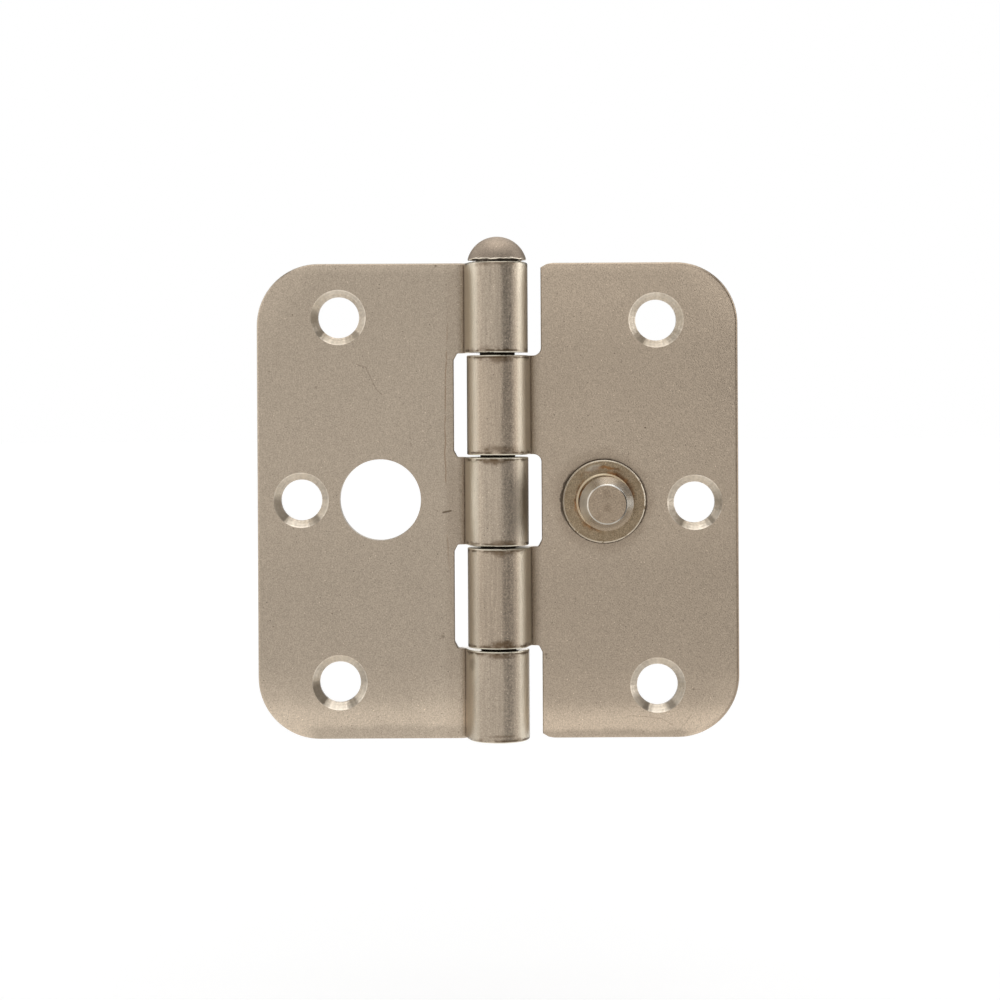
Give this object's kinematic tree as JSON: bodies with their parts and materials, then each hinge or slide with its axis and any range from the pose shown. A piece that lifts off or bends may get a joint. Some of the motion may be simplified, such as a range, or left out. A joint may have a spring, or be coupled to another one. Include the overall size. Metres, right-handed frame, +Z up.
{
  "type": "loose pin butt hinge",
  "caption": "Butt hinge with rolled knuckles, a lift-out domed pin, countersunk leaves with round corners, and a riveted security stud that locks into a hole.",
  "frame": {"origin": "on the pin's axis, level with the bottom edge of the leaves, with the hinge opened flat", "axes": "+Z up along the pin towards its head, +Y towards the back of the leaves, the frame leaf towards -X and the door leaf towards +X"},
  "size_m": [0.0896, 0.0114, 0.0933],
  "materials": {
    "leaf_steel": "tumbled matte",
    "pin_steel": "tumbled matte",
    "stud_steel": "turned, satin",
    "collar_steel": "matte, rust stained at its bore"
  },
  "bodies": {
    "frame_side": {"frame_leaf": "leaf_steel"},
    "door_side": {"door_leaf": "leaf_steel", "security_stud": "stud_steel", "stud_collar": "collar_steel"},
    "loose_pin": {"hinge_pin": "pin_steel"}
  },
  "joints": [
    {"name": "leaf_swing", "type": "hinge", "parent": "frame_side", "child": "door_side", "pos_m": [0, 0, 0], "axis": [0, 0, -1], "range_deg": [-125, 180]},
    {"name": "pin_lift", "type": "slide", "parent": "frame_side", "child": "loose_pin", "axis": [0, 0, 1], "range_m": [0, 0.095]}
  ]
}
